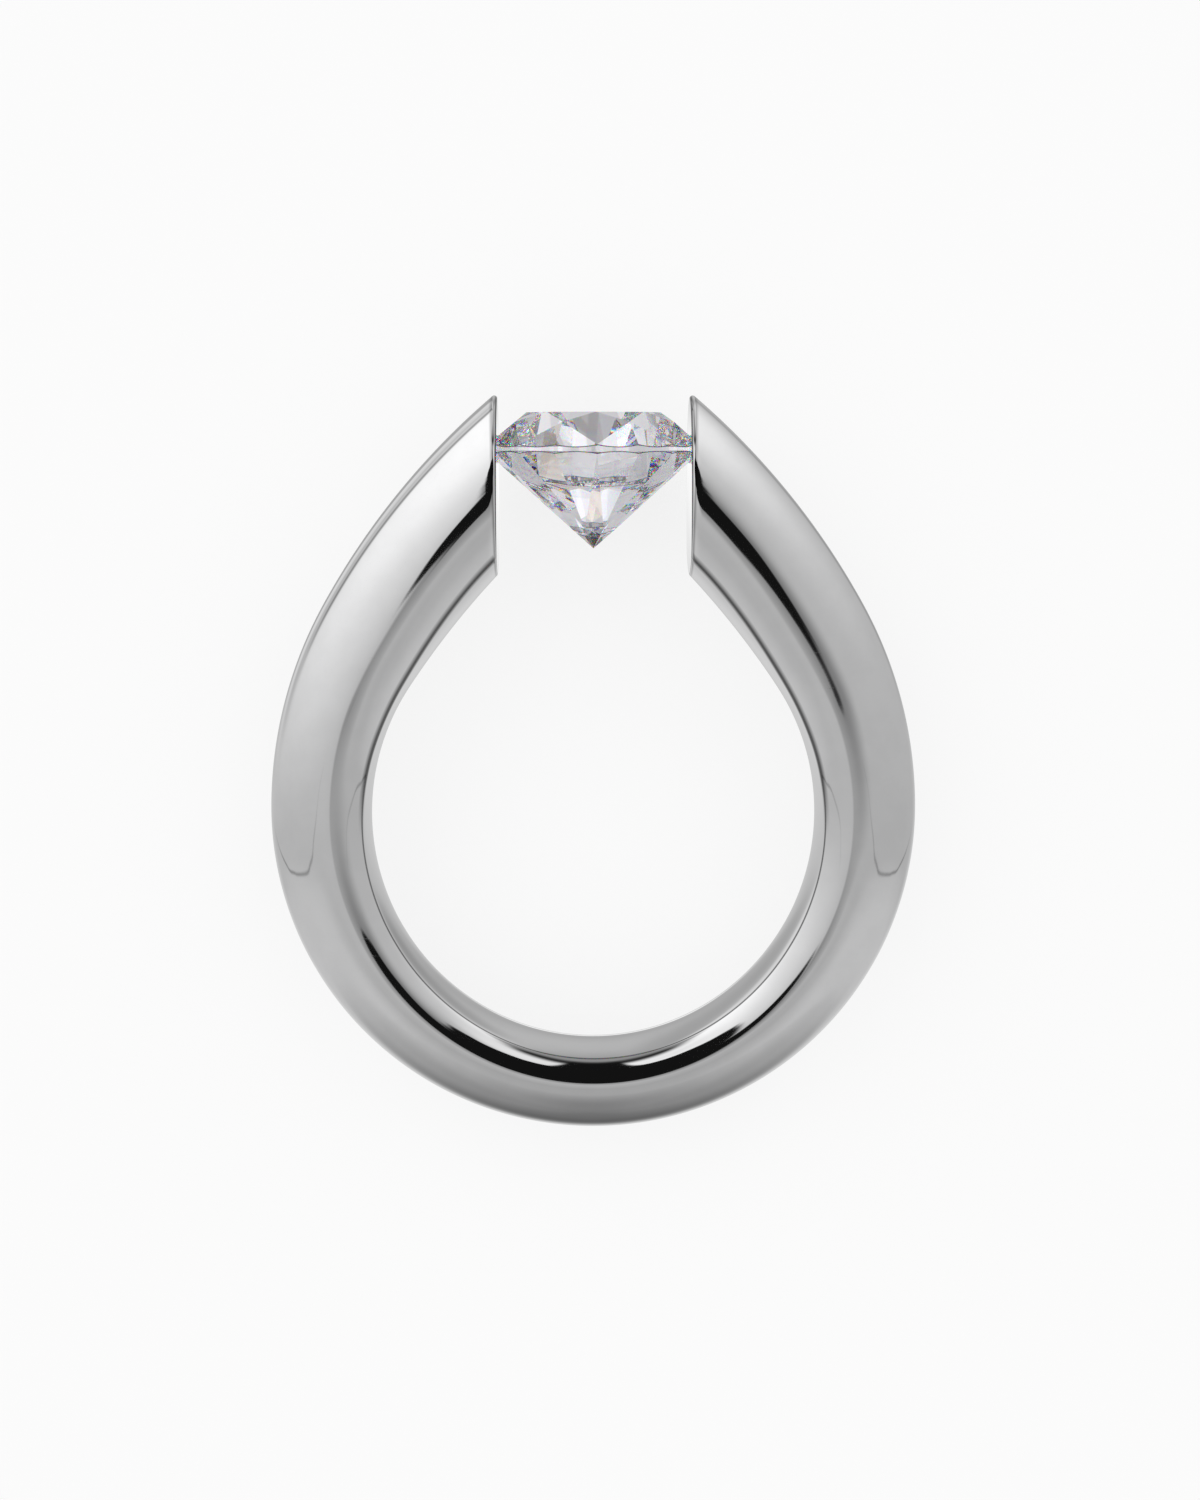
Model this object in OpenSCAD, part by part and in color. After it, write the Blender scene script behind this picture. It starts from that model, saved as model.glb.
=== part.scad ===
// Tension set ring: an open band whose two flat ends grip a round brilliant stone by its girdle.
// It is drawn in the ring's own frame, with the finger along Z, the stone towards +Y and
// the middle of the finger hole at the origin, and module laid() then puts it down on its side.

/* [Finger hole] */
// Radius of the finger hole round its lower part, at the top of the comfort dome
hole_r = 8.5; // [8.3:0.05:8.7]
// Angle above horizontal where the lower part of the finger hole ends
hole_to = -27.5; // [-32:0.5:-20]
// Radius of the finger hole up its sides
hole_side_r = 9; // [8.8:0.1:9.4]
// Angle above horizontal where the side of the finger hole ends
hole_side_to = 33.5; // [32:0.5:36]
// Radius of the nearly straight inside of the arms
hole_arm_r = 32.5; // [30:0.5:40]

/* [Outline] */
// Wall thickness at the bottom of the band
wall = 3.38; // [3:0.02:3.8]
// Radius of the outline round its lower part
back_r = 12.39; // [12.2:0.01:12.6]
// Angle above horizontal where the lower part of the outline ends
back_to = 1; // [0:0.5:4]
// Radius of the outline up its sides
side_r = 16.3; // [15.8:0.1:17]
// Angle above horizontal where the side of the outline ends
side_to = 29; // [27:0.5:31]
// Radius of the outline up the arms
arm_r = 28.7; // [28:0.1:30]
// Distance between the two end faces
gap = 7.3; // [7.2:0.02:7.5]
// Rounding of the edges of the end faces
edge_r = 0.12; // [0.1:0.01:0.3]

/* [Section] */
// Depth of the band along the finger at its bottom
back_depth = 5; // [4.6:0.1:5.4]
// Depth of the band along the finger at its ends
end_depth = 5.5; // [5.2:0.1:5.8]
// Height of the comfort dome at the bottom of the finger hole
back_dome = 0.34; // [0.2:0.02:0.5]
// Height of the comfort dome up the sides of the finger hole
dome = 0.2; // [0.1:0.02:0.4]
// Height of the comfort dome where the arms meet the stone
end_dome = 0.72; // [0.4:0.02:0.9]
// Place of the widest line between the crease and the outside, at the bottom
back_crest = 0.32; // [0.28:0.01:0.4]
// Place of the widest line between the crease and the outside, on the arms
arm_crest = 0.4; // [0.32:0.01:0.46]
// How far the side rolls under towards the crease, in degrees of its ellipse
roll = 31; // [24:1:38]

/* [Stone] */
// Diameter of the stone over its girdle
stone_d = 8.02; // [7.9:0.02:8.2]
// Height of the middle of the girdle above the middle of the finger hole
stone_up = 14.3; // [14:0.05:14.6]
// Thickness of the girdle at its thickest
girdle = 0.36; // [0.3:0.02:0.5]
// Width of the table across its corners, as a share of the diameter
table_share = 0.635; // [0.53:0.005:0.7]
// Angle of the main facets of the crown
crown_angle = 39.3; // [30:0.1:42]
// Angle of the main facets of the pavilion
pavilion_angle = 42; // [39:0.5:43]
// Reach of the star facets from the table towards the girdle
star_reach = 0.54; // [0.4:0.02:0.6]
// Reach of the lower girdle facets from the girdle towards the culet
lower_reach = 0.77; // [0.7:0.01:0.85]
// Turn of the stone about its own axis
stone_turn = 1.5; // [-22:0.5:22]
// Clearance between the stone and its two grooves
seat_gap = 0.03; // [0.02:0.01:0.06]

/* [Fineness] */
// Steps from the bottom of the band to where its arms begin
back_steps = 16; // [10:1:24]
// Steps along each arm
arm_steps = 30; // [20:1:40]
// Steps round the rounded edge of each end face
edge_steps = 4; // [3:1:5]

/* [Hidden] */
stone_r = stone_d / 2;
// Corner angles of the section's ellipses, from the crease over the outside and round the dome.
roll_steps = 4;
outer_steps = 20;
dome_steps = 8;
// Symmetry of the brilliant cut, and the steps of its girdle between two mains.
mains = 8;
main_turn = 360 / mains;
girdle_steps = 8;

// Plane geometry: each curve of the side view is a chain of arcs that run on without a corner.
// An arc is [centre, radius, angle where it starts, angle where it ends].
CENTRE = 0;
RADIUS = 1;
START = 2;
END = 3;

function at_angle(centre, radius, angle) = centre + radius * [cos(angle), sin(angle)];
function next_centre(centre, radius, next_radius, angle) = at_angle(centre, radius - next_radius, angle);
function length_of(arc) = (arc[END] - arc[START]) * PI / 180 * arc[RADIUS];
function chain_length(chain, i = 0) =
    i == len(chain) ? 0 : length_of(chain[i]) + chain_length(chain, i + 1);
function chain_point(chain, way, i = 0) =
    way > length_of(chain[i]) && i < len(chain) - 1
        ? chain_point(chain, way - length_of(chain[i]), i + 1)
        : at_angle(chain[i][CENTRE], chain[i][RADIUS],
                   chain[i][START] + way / chain[i][RADIUS] * 180 / PI);

// Inside of the arms, and the small rounding where it meets the end face.
end_x = gap / 2 + edge_r;
hole_centre = [0, 0];
hole_side_centre = next_centre(hole_centre, hole_r, hole_side_r, hole_to);
hole_arm_centre = next_centre(hole_side_centre, hole_side_r, hole_arm_r, hole_side_to);
hole_arm_to = acos((end_x - hole_arm_centre.x) / (hole_arm_r + edge_r));
hole_edge_centre = at_angle(hole_arm_centre, hole_arm_r + edge_r, hole_arm_to);
hole_chain = [
    [hole_side_centre, hole_side_r, hole_to, hole_side_to],
    [hole_arm_centre, hole_arm_r, hole_side_to, hole_arm_to],
];

// Outside of the arms, and the rounding of the tip.
back_centre = [0, back_r - hole_r - wall];
side_centre = next_centre(back_centre, back_r, side_r, back_to);
arm_centre = next_centre(side_centre, side_r, arm_r, side_to);
arm_to = acos((end_x - arm_centre.x) / (arm_r - edge_r));
tip_centre = at_angle(arm_centre, arm_r - edge_r, arm_to);
outline_chain = [
    [back_centre, back_r, hole_to, back_to],
    [side_centre, side_r, back_to, side_to],
    [arm_centre, arm_r, side_to, arm_to],
];

// A station is [point on the finger hole, point on the outline, way along the band, edge angle].
// The way is 0 at the bottom, 1 where the arms begin and 2 at the end face.
function back_station(share) =
    let (angle = -90 + share * (90 + hole_to))
    [at_angle(hole_centre, hole_r, angle), at_angle(back_centre, back_r, angle), share, 0];
function arm_station(share) =
    [chain_point(hole_chain, share * chain_length(hole_chain)),
     chain_point(outline_chain, share * chain_length(outline_chain)), 1 + share, 0];
function edge_station(share) =
    [at_angle(hole_edge_centre, edge_r, 180 + hole_arm_to * (1 - share)),
     at_angle(tip_centre, edge_r, arm_to + share * (180 - arm_to)), 2, 90 * share];

half_band = concat(
    [for (i = [0 : back_steps - 1]) back_station(i / back_steps)],
    [for (i = [0 : arm_steps]) arm_station(i / arm_steps)],
    [for (i = [1 : edge_steps]) edge_station(i / edge_steps)]
);

// Section sizes along the band: [way, half depth, dome height, crest place].
section_table = [
    [0.0, back_depth / 2, back_dome, back_crest],
    [1.0, back_depth / 2, dome, back_crest],
    [1.5, (back_depth + end_depth) / 4, dome, (back_crest + arm_crest) / 2],
    [2.0, end_depth / 2, end_dome, arm_crest],
];
HALF = 1;
DOME = 2;
CREST = 3;

function ease(t) = t * t * (3 - 2 * t);
function section_size(column, way, i = 0) =
    i < len(section_table) - 2 && way > section_table[i + 1][0]
        ? section_size(column, way, i + 1)
        : let (a = section_table[i], b = section_table[i + 1], t = (way - a[0]) / (b[0] - a[0]))
          a[column] + (b[column] - a[column]) * ease(t);

// The section's corners as [distance from the finger hole towards the outside, height along Z].
function section(thick, way, edge) =
    let (
        half = section_size(HALF, way) - edge_r * (1 - cos(edge)),
        rise = section_size(DOME, way),
        crest = rise + section_size(CREST, way) * (thick - rise),
        under = (crest - rise) / sin(roll),
        crease = half * cos(roll),
        dome_r = (crease * crease + rise * rise) / (2 * rise)
    )
    concat(
        [for (i = [0 : roll_steps - 1]) let (a = roll * (1 - i / roll_steps))
            [crest - under * sin(a), half * cos(a)]],
        [for (i = [0 : outer_steps]) let (a = 180 * i / outer_steps)
            [crest + (thick - crest) * sin(a), half * cos(a)]],
        [for (i = [1 : roll_steps]) let (a = roll * i / roll_steps)
            [crest - under * sin(a), -half * cos(a)]],
        [for (i = [1 : dome_steps - 1]) let (z = crease * (2 * i / dome_steps - 1))
            [dome_r - sqrt(dome_r * dome_r - z * z), z]]
    );

// The corners of one station in space, on the right half (side = 1) or the left (side = -1).
function station_points(station, side) =
    let (
        inner = station[0],
        across = station[1] - station[0],
        thick = norm(across),
        away = across / thick
    )
    [for (p = section(thick, station[2], station[3]))
        [side * (inner.x + away.x * p[0]), inner.y + away.y * p[0], p[1]]];

// A closed skin over rows of corners that all have the same count.
module skin(rows) {
    count = len(rows[0]);
    last = len(rows) - 1;
    sides = [for (i = [0 : last - 1], j = [0 : count - 1])
        let (a = i * count + j, b = i * count + (j + 1) % count)
        each [[a, b, b + count], [a, b + count, a + count]]];
    polyhedron(
        points = [for (row = rows) each row],
        faces = concat(
            [[for (j = [count - 1 : -1 : 0]) j]],
            sides,
            [[for (j = [0 : count - 1]) last * count + j]]
        )
    );
}

module band_body() {
    n = len(half_band);
    skin(concat(
        [for (i = [n - 1 : -1 : 1]) station_points(half_band[i], -1)],
        [for (i = [0 : n - 1]) station_points(half_band[i], 1)]
    ));
}

// Heights of the stone's levels, measured along its axis from the middle of the girdle.
function crown_height(r) = girdle / 2 + (stone_r - r) * tan(crown_angle);
function pavilion_depth(r) = -girdle / 2 - (stone_r - r) * tan(pavilion_angle);

table_r = table_share * stone_r;
half_turn = main_turn / 2;
// Corners between two mains: where star, mains and upper girdle facets meet, and their like below.
star_r = table_r * cos(half_turn) + star_reach * (stone_r - table_r * cos(half_turn));
lower_r = (1 - lower_reach) * stone_r;

function spot(r, angle, up) = [r * cos(angle), r * sin(angle), up];
function plane_up(p, q, s, at) =
    let (n = cross(q - p, s - p)) p.z - (n.x * (at.x - p.x) + n.y * (at.y - p.y)) / n.z;
// The girdle's edge at an angle: a flat facet, from its inner corner to the girdle, cuts the round.
function girdle_edge(inner_corner, level, angle) =
    let (
        from_main = abs((angle + half_turn) % main_turn - half_turn),
        at = spot(stone_r, from_main, 0)
    )
    spot(stone_r, angle,
         plane_up(inner_corner, spot(stone_r, 0, level), spot(stone_r, half_turn, level), at));

// The smallest solid round a list of corners, whose flats are the facets.
module wrap(corners) {
    hull() polyhedron(points = corners, faces = [for (i = [2 : len(corners) - 1]) [i - 2, i - 1, i]]);
}

module stone_body() {
    star = spot(star_r, half_turn, crown_height(star_r * cos(half_turn)));
    low = spot(lower_r, half_turn, pavilion_depth(lower_r * cos(half_turn)));
    girdle_angles = [for (i = [0 : mains * girdle_steps - 1]) i * main_turn / girdle_steps];
    wrap(concat(
        [for (i = [0 : mains - 1]) spot(table_r, i * main_turn, crown_height(table_r))],
        [for (i = [0 : mains - 1]) spot(star_r, (i + 0.5) * main_turn, star.z)],
        [for (a = girdle_angles) girdle_edge(star, girdle / 2, a)],
        [for (a = girdle_angles) girdle_edge(low, -girdle / 2, a)],
        [for (i = [0 : mains - 1]) spot(lower_r, (i + 0.5) * main_turn, low.z)],
        [spot(0, 0, pavilion_depth(0))]
    ));
}

// The groove that both end faces share: the stone's own round form with the clearance added.
module groove() {
    inset = gap / 2 - 0.4;
    deep = stone_r + seat_gap;
    high = girdle / 2 + seat_gap;
    rotate_extrude($fn = 96)
        polygon([
            [inset, -high - (deep - inset) * tan(pavilion_angle)],
            [deep, -high],
            [deep, high],
            [inset, high + (deep - inset) * tan(crown_angle)],
        ]);
}

// Turns a stone drawn along Z to its place between the arms, with its table towards +Y.
module at_stone() {
    translate([0, stone_up, 0]) rotate([-90, 0, 0]) rotate([0, 0, stone_turn]) children();
}

// The ring rests on two things: the stone's girdle and the bottom of the band.
band_low = [-(hole_r + back_dome + back_crest * (wall - back_dome)), back_depth / 2];
stone_low = [stone_up - girdle / 2, stone_r];
lean = atan((stone_low[1] - band_low[1]) / (stone_low[0] - band_low[0]));
lift = stone_low[1] * cos(lean) - stone_low[0] * sin(lean);
// The origin is under the middle of the ring's length, which runs from the band's bottom to its tips.
middle = (tip_centre.y + edge_r - hole_r - wall) / 2 * cos(lean);

// Puts the ring on its side on the surface Z = 0, leaning back on its stone.
module laid() {
    translate([0, -middle, lift]) rotate([lean, 0, 0]) children();
}

module band() {
    color([0.80, 0.81, 0.83]) laid() difference() {
        band_body();
        at_stone() groove();
    }
}

module stone() {
    color([0.88, 0.90, 0.98]) laid() at_stone() stone_body();
}

band();
stone();
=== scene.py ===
"""Tension set ring: the polished open band, the brilliant cut stone between its ends, and a studio.

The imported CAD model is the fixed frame. The band and the stone are made again here by the same rules,
fine enough for mirror polish and cut facets, and stand for the CAD nodes of the same names.
"""
import math

import bpy
import numpy as np
from mathutils import Matrix, Vector
from mathutils.kdtree import KDTree


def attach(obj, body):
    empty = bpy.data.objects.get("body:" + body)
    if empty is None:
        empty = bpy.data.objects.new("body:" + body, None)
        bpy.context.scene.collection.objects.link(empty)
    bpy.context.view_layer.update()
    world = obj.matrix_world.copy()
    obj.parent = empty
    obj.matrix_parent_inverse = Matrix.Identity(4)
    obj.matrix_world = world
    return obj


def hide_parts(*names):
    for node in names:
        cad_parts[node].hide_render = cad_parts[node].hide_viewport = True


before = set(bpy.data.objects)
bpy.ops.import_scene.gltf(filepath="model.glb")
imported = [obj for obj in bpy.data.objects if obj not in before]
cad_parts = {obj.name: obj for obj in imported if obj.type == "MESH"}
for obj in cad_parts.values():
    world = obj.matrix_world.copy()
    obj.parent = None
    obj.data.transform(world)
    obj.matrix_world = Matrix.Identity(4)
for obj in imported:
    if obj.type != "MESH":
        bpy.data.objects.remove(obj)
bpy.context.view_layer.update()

bl_info = {
    "name": "Tension Set Ring",
    "version": (1, 0, 0),
    "blender": (4, 5, 0),
    "location": "3D View > Sidebar > Ring",
    "description": "Makes a tension set ring with a round brilliant stone, and the studio it is shown in",
    "category": "Add Mesh",
}

MM = 0.001


def length(name, description, mm):
    """A size that is written here in millimetres and kept in metres."""
    return bpy.props.FloatProperty(
        name=name, description=description, default=mm * MM, min=0, precision=5, unit="LENGTH")


def angle(name, description, degrees):
    """An angle that is written here in degrees."""
    return bpy.props.FloatProperty(
        name=name, description=description, default=math.radians(degrees), subtype="ANGLE")


def share(name, description, value):
    """A plain number, mostly a part of one."""
    return bpy.props.FloatProperty(name=name, description=description, default=value, precision=4)


def tint(name, description, value):
    """A colour that a user would change."""
    return bpy.props.FloatVectorProperty(
        name=name, description=description, default=value, size=3, min=0, max=1, subtype="COLOR")


class BandSizes(bpy.types.PropertyGroup):
    """Sizes of the open band, in the ring's own frame: finger along Z, stone towards +Y."""
    hole_r: length("Finger hole", "Radius of the finger hole round its lower part", 8.5)
    hole_to: angle("Finger hole ends", "Angle above horizontal where the lower part of the hole ends", -27.5)
    hole_side_r: length("Hole side", "Radius of the finger hole up its sides", 9)
    hole_side_to: angle("Hole side ends", "Angle where the side of the finger hole ends", 33.5)
    hole_arm_r: length("Arm inside", "Radius of the nearly straight inside of the arms", 32.5)
    wall: length("Wall", "Wall thickness at the bottom of the band", 3.38)
    back_r: length("Outline", "Radius of the outline round its lower part", 12.39)
    back_to: angle("Outline ends", "Angle where the lower part of the outline ends", 1)
    side_r: length("Outline side", "Radius of the outline up its sides", 16.3)
    side_to: angle("Outline side ends", "Angle where the side of the outline ends", 29)
    arm_r: length("Arm outside", "Radius of the outline up the arms", 28.7)
    gap: length("Gap", "Distance between the two end faces", 7.3)
    edge_r: length("Edge rounding", "Rounding of the edges of the end faces", 0.12)
    soft_run: length("Softened run", "How far from the end faces polishing has softened the sides", 0.28)
    soft_drop: length("Softened drop", "How much polishing has taken off the sides at the end faces", 0.08)
    crease_r: length("Crease rounding", "Rounding that polishing leaves on the crease", 0.15)
    back_depth: length("Depth at the bottom", "Depth along the finger at the bottom", 5)
    end_depth: length("Depth at the ends", "Depth along the finger at the two ends", 5.5)
    back_dome: length("Dome at the bottom", "Height of the comfort dome at the bottom", 0.34)
    dome: length("Dome at the sides", "Height of the comfort dome up the sides", 0.2)
    end_dome: length("Dome at the ends", "Height of the comfort dome where the arms meet the stone", 0.72)
    back_crest: share("Crest at the bottom", "Place of the widest line between crease and outside", 0.32)
    arm_crest: share("Crest on the arms", "Place of the widest line on the arms", 0.4)
    roll: angle("Roll under", "How far the side rolls under towards the crease", 31)


class StoneSizes(bpy.types.PropertyGroup):
    """Sizes of the round brilliant, along its own axis, and its place between the arms."""
    diameter: length("Diameter", "Diameter of the stone over its girdle", 8.02)
    up: length("Height", "Height of the girdle above the middle of the finger hole", 14.3)
    girdle: length("Girdle", "Thickness of the girdle at its thickest", 0.36)
    table_share: share("Table", "Width of the table across its corners, as a share of the diameter", 0.635)
    crown_angle: angle("Crown angle", "Angle of the main facets of the crown", 39.3)
    pavilion_angle: angle("Pavilion angle", "Angle of the main facets of the pavilion", 42)
    star_reach: share("Star reach", "Reach of the star facets from the table towards the girdle", 0.54)
    lower_reach: share("Lower reach", "Reach of the lower girdle facets towards the culet", 0.77)
    turn: angle("Turn", "Turn of the stone about its own axis", 1.5)
    bruted: length("Bruted line", "Height of the unpolished lines along the girdle's edges", 0.035)
    seat_gap: length("Seat clearance", "Clearance between the stone and its two grooves", 0.03)


class Finishes(bpy.types.PropertyGroup):
    """Colours and polish of the two materials."""
    metal: tint("White gold", "Colour of the polished metal", (0.86, 0.86, 0.865))
    polish: share("Polish", "Roughness of the polished metal", 0.03)
    stone: tint("Stone", "Colour that the stone gives to what passes through it", (0.997, 0.996, 1.0))
    bruted: tint("Bruted lines", "Colour of the unpolished lines along the girdle", (0.3, 0.3, 0.33))
    bend: share("Refraction", "Refractive index of the stone", 2.42)
    fire: share("Fire", "Spread of the refractive index from red to blue", 0.022)


class StudioSizes(bpy.types.PropertyGroup):
    """The floor, the lights and the camera."""
    floor: tint("Floor", "Colour of the pale floor", (0.18, 0.18, 0.18))
    floor_glow: share("Floor glow", "Light that the floor gives off itself, which keeps shadows soft", 0.82)
    background: share("Background", "Brightness that the camera sees behind the ring", 0.94)
    view_height: length("View", "Height of the view where the camera aims", 57.69)


class Socket:
    """One output of a node. Python's operators on it add Math nodes."""

    def __init__(self, nodes, socket):
        self.nodes = nodes
        self.socket = socket

    def math(self, operation, *values):
        """The operation on this socket and the values after it."""
        return self.nodes.add("ShaderNodeMath", {"operation": operation}, dict(enumerate((self, *values))))

    def __add__(self, other):
        return self.math("ADD", other)

    __radd__ = __add__

    def __sub__(self, other):
        return self.math("SUBTRACT", other)

    def __rsub__(self, other):
        return self.nodes.add("ShaderNodeMath", {"operation": "SUBTRACT"}, {0: other, 1: self})

    def __mul__(self, other):
        return self.math("MULTIPLY", other)

    __rmul__ = __mul__

    def __truediv__(self, other):
        return self.math("DIVIDE", other)

    def __abs__(self):
        return self.math("ABSOLUTE")

    def __neg__(self):
        return self * -1

    def rises(self, low, high):
        """0 below low and 1 above high, with a soft step between them."""
        return self.nodes.add(
            "ShaderNodeMapRange", {"interpolation_type": "SMOOTHSTEP"},
            {"Value": self, "From Min": low, "From Max": high}, out="Result")

    def falls(self, low, high):
        """1 below low and 0 above high, with a soft step between them."""
        return 1 - self.rises(low, high)

    def near(self, middle, reach):
        """1 at the middle and 0 beyond the reach on either side."""
        return abs(self - middle).falls(0, reach)

    def turned(self, other, part):
        """This value with that part of it turned to the other."""
        return self + (other - self) * part

    def curve(self, rows, column=1):
        """The value of a table's column at this height, where the rows start with the height."""
        low, high = rows[0][0], rows[-1][0]
        top = max(row[column] for row in rows)
        points = [((row[0] - low) / (high - low), row[column] / top) for row in rows]
        return self.nodes.add(
            "ShaderNodeFloatCurve", {"points": points},
            {"Factor": 1, "Value": (self - low) / (high - low)}) * top


class Nodes:
    """A node tree that is written as Python expressions."""

    def __init__(self, tree):
        self.tree = tree
        tree.nodes.clear()

    def add(self, kind, settings=None, sockets=None, out=0):
        """A node of that kind, with its settings made first and then its sockets' values and links."""
        node = self.tree.nodes.new(kind)
        for name, value in (settings or {}).items():
            if name == "points":
                self.lay_points(node.mapping, value)
            else:
                setattr(node, name, value)
        for name, value in (sockets or {}).items():
            socket = node.inputs[name]
            if isinstance(value, Socket):
                self.tree.links.new(value.socket, socket)
            else:
                socket.default_value = value
        return Socket(self, node.outputs[out]) if len(node.outputs) else node

    def outputs(self, kind, sockets, names):
        """Several outputs of one node."""
        first = self.add(kind, {}, sockets, out=names[0])
        return [Socket(self, first.socket.node.outputs[name]) for name in names]

    @staticmethod
    def lay_points(mapping, points):
        """Puts the points of a curve where the list says."""
        curve = mapping.curves[0]
        while len(curve.points) < len(points):
            curve.points.new(0, 0)
        for point, place in zip(curve.points, points):
            point.location = place
            point.handle_type = "AUTO_CLAMPED"
        mapping.update()


# The ring's own frame and the frame it lies in.

def band_low(band):
    """Height and depth of the band's lowest line where it lies on the floor, in the ring's frame."""
    return (-(band.hole_r + band.back_dome + band.back_crest * (band.wall - band.back_dome)),
            band.back_depth / 2)


def laid(band, stone):
    """The matrix that lays the ring on its side, leaning back on the girdle of its stone."""
    low_y, low_z = band_low(band)
    rest_y, rest_z = stone.up - stone.girdle / 2, stone.diameter / 2
    lean = math.atan((rest_z - low_z) / (rest_y - low_y))
    lift = rest_z * math.cos(lean) - rest_y * math.sin(lean)
    tip_y = half_outline(band)["tip"][1]
    middle = (tip_y + band.edge_r - band.hole_r - band.wall) / 2 * math.cos(lean)
    return Matrix.Translation((0, -middle, lift)) @ Matrix.Rotation(lean, 4, "X"), lean


def at_angle(centre, radius, turn):
    """The point of a circle at that angle."""
    return centre + radius * np.array((math.cos(turn), math.sin(turn)))


def next_centre(centre, radius, next_radius, turn):
    """The centre of the arc that runs on from another without a corner."""
    return at_angle(centre, radius - next_radius, turn)


def half_outline(band):
    """The arcs of the right half: chains of (centre, radius, start, end), and the two edge roundings."""
    end_x = band.gap / 2 + band.edge_r
    hole = np.zeros(2)
    hole_side = next_centre(hole, band.hole_r, band.hole_side_r, band.hole_to)
    hole_arm = next_centre(hole_side, band.hole_side_r, band.hole_arm_r, band.hole_side_to)
    hole_arm_to = math.acos((end_x - hole_arm[0]) / (band.hole_arm_r + band.edge_r))
    back = np.array((0, band.back_r - band.hole_r - band.wall))
    side = next_centre(back, band.back_r, band.side_r, band.back_to)
    arm = next_centre(side, band.side_r, band.arm_r, band.side_to)
    arm_to = math.acos((end_x - arm[0]) / (band.arm_r - band.edge_r))
    return {
        "hole": hole,
        "back": back,
        "inner": [(hole_side, band.hole_side_r, band.hole_to, band.hole_side_to),
                  (hole_arm, band.hole_arm_r, band.hole_side_to, hole_arm_to)],
        "outer": [(back, band.back_r, band.hole_to, band.back_to),
                  (side, band.side_r, band.back_to, band.side_to),
                  (arm, band.arm_r, band.side_to, arm_to)],
        "hole_edge": at_angle(hole_arm, band.hole_arm_r + band.edge_r, hole_arm_to),
        "hole_arm_to": hole_arm_to,
        "tip": at_angle(arm, band.arm_r - band.edge_r, arm_to),
        "arm_to": arm_to,
    }


def chain_point(chain, part):
    """The point at a part of a chain's whole length."""
    lengths = [(end - start) * radius for _, radius, start, end in chain]
    way = part * sum(lengths)
    for (centre, radius, start, _), long in zip(chain, lengths):
        if way <= long or long is lengths[-1]:
            return at_angle(centre, radius, start + way / radius)
        way -= long


# How finely the band is drawn: steps along it, and then round its section.
BACK_STEPS = 66
ARM_STEPS = 150
EDGE_STEPS = 8
ROLL_STEPS = 10
OUTER_STEPS = 56
DOME_STEPS = 22
CREASE_STEPS = 4
GROOVE_STEPS = 240
# Rows counted from an end face, and how dark the painted shade line is that each holds.
EDGE_SHADE_LINES = {0: 1, 1: 1, 2: 1, 3: 1, 4: 0.8, EDGE_STEPS: 0.7}
# The creases' painted shade lines: how dark their middle is low on the band, and from where and over
# how much of the arms they grow to their full width and darkness.
LOW_SHADE_LINE = 0.85
SHADE_LINE_GROWS_FROM = 0.25
SHADE_LINE_GROWS_OVER = 0.15


def stations(band):
    """Rows of (point on the finger hole, point on the outline, way along the band)."""
    line = half_outline(band)
    rows = []
    for i in range(BACK_STEPS):
        part = i / BACK_STEPS
        turn = -math.pi / 2 + part * (math.pi / 2 + band.hole_to)
        rows.append((at_angle(line["hole"], band.hole_r, turn),
                     at_angle(line["back"], band.back_r, turn), part))
    for i in range(ARM_STEPS + 1):
        part = i / ARM_STEPS
        rows.append((chain_point(line["inner"], part), chain_point(line["outer"], part), 1 + part))
    for i in range(1, EDGE_STEPS + 1):
        part = i / EDGE_STEPS
        rows.append((
            at_angle(line["hole_edge"], band.edge_r, math.pi + line["hole_arm_to"] * (1 - part)),
            at_angle(line["tip"], band.edge_r, line["arm_to"] + part * (math.pi - line["arm_to"])),
            2))
    return rows


def section_size(table, column, way):
    """A section size along the band, eased from each row of the table to the next."""
    for before, after in zip(table, table[1:]):
        if way <= after[0] or after is table[-1]:
            t = (way - before[0]) / (after[0] - before[0])
            return before[column] + (after[column] - before[column]) * t * t * (3 - 2 * t)


def rounded_corner(corner, to_side, to_dome, radius):
    """Points that round the corner between two directions, and how far the rounding reaches along them."""
    opening = math.acos(float(to_side @ to_dome))
    reach = radius / math.tan(opening / 2)
    bisector = (to_side + to_dome) / np.linalg.norm(to_side + to_dome)
    centre = corner + bisector * radius / math.sin(opening / 2)
    first = corner + to_dome * reach - centre
    turn = math.pi - opening
    spin = 1 if first[0] * to_dome[1] - first[1] * to_dome[0] < 0 else -1
    points = []
    for i in range(CREASE_STEPS + 1):
        a = spin * turn * i / CREASE_STEPS
        points.append((centre[0] + first[0] * math.cos(a) - first[1] * math.sin(a),
                       centre[1] + first[0] * math.sin(a) + first[1] * math.cos(a)))
    return points, reach


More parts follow.
